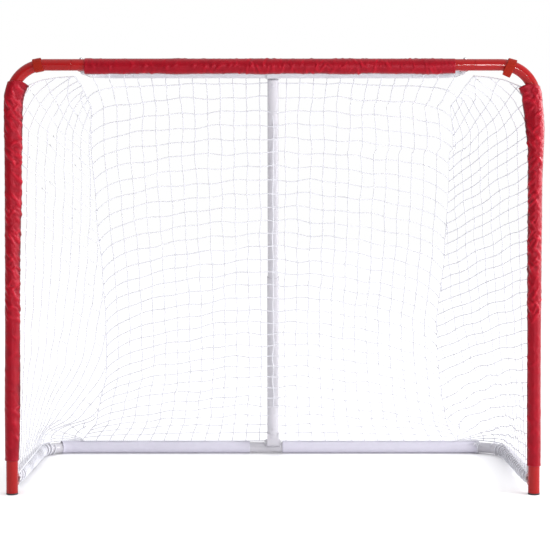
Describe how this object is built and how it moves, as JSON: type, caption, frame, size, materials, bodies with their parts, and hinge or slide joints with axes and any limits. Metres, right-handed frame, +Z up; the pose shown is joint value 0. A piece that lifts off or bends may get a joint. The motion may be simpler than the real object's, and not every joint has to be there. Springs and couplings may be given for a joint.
{
  "type": "folding street hockey goal",
  "caption": "Folding goal with a round steel tube front frame, swing-up base, drop-down top shelf, telescoping centre prop and square-mesh net.",
  "frame": {"origin": "bottom centre of the whole goal, on the floor", "axes": "+X to the right of someone who looks into the mouth, +Y towards the rear bar, +Z up"},
  "size_m": [1.3766, 0.61, 1.122],
  "materials": {
    "red_tube": "gloss",
    "white_tube": "gloss",
    "red_sleeve": "satin",
    "white_sleeve": "matte",
    "red_strap": "satin",
    "zinc": "satin",
    "black_cap": "matte",
    "net_cord": "matte"
  },
  "bodies": {
    "frame": {"post_left": "red_tube", "post_right": "red_tube", "crossbar": "red_tube", "base_lug_left": "red_tube", "base_lug_right": "red_tube", "shelf_lug_left": "red_tube", "shelf_lug_right": "red_tube", "post_cap_left": "black_cap", "post_cap_right": "black_cap", "base_hinge_left_bolt": "zinc", "base_hinge_left_nut": "zinc", "base_hinge_right_bolt": "zinc", "base_hinge_right_nut": "zinc", "shelf_hinge_left_bolt": "zinc", "shelf_hinge_left_nut": "zinc", "shelf_hinge_right_bolt": "zinc", "shelf_hinge_right_nut": "zinc", "button_spring_left": "zinc", "button_spring_right": "zinc", "crossbar_sleeve": "red_sleeve", "post_sleeve_left": "red_sleeve", "post_sleeve_right": "red_sleeve", "corner_strap_left": "red_strap", "corner_strap_right": "red_strap", "net_back": "net_cord", "net_left": "net_cord", "net_right": "net_cord", "net_top": "net_cord"},
    "base": {"base_arm_left": "white_tube", "base_arm_right": "white_tube", "rear_bar": "white_tube", "prop_ear_left": "white_tube", "prop_ear_right": "white_tube", "base_sleeve_left": "white_sleeve", "base_sleeve_right": "white_sleeve"},
    "shelf": {"shelf_arm_left": "white_tube", "shelf_arm_right": "white_tube", "shelf_rail": "white_tube"},
    "prop_upper": {"prop_collar": "white_tube", "prop_upper_tube": "white_tube", "prop_top_rivet": "zinc"},
    "prop_lower": {"prop_lower_tube": "white_tube", "prop_foot": "white_tube", "prop_foot_rivet": "zinc"},
    "pin": {"release_pin": "zinc"},
    "button_left": {"snap_button_left": "zinc"},
    "button_right": {"snap_button_right": "zinc"}
  },
  "joints": [
    {"name": "base_fold", "type": "hinge", "parent": "frame", "child": "base", "pos_m": [0, -0.2467, 0.031], "axis": [1, 0, 0], "range_deg": [0, 84], "deforming": ["net_back", "net_left", "net_right", "net_top"]},
    {"name": "shelf_fold", "type": "hinge", "parent": "frame", "child": "shelf", "pos_m": [0, -0.2507, 1.0955], "axis": [-1, 0, 0], "range_deg": [0, 88]},
    {"name": "prop_swing", "type": "hinge", "parent": "shelf", "child": "prop_upper", "pos_m": [0, -0.0177, 1.0955], "axis": [1, 0, 0], "range_deg": [0, 72]},
    {"name": "prop_slide", "type": "slide", "parent": "prop_upper", "child": "prop_lower", "axis": [0, -0.2552, 0.9669], "range_m": [0, 0.36]},
    {"name": "pin_pull", "type": "slide", "parent": "base", "child": "pin", "axis": [-1, 0, 0], "range_m": [0, 0.05]},
    {"name": "button_left_press", "type": "slide", "parent": "frame", "child": "button_left", "axis": [0, 0, -1], "range_m": [0, 0.0055], "stiffness_N_per_m": 400, "springref_m": -0.003, "deforming": ["button_spring_left"]},
    {"name": "button_right_press", "type": "slide", "parent": "frame", "child": "button_right", "axis": [0, 0, -1], "range_m": [0, 0.0055], "stiffness_N_per_m": 400, "springref_m": -0.003, "deforming": ["button_spring_right"]}
  ],
  "couplings": [
    {"joint": "shelf_fold", "follows": "base_fold", "ratio": 1.0476},
    {"joint": "prop_swing", "follows": "base_fold", "ratio": 0.85714},
    {"joint": "prop_slide", "follows": "base_fold", "m_per_rad": 0.24555}
  ]
}
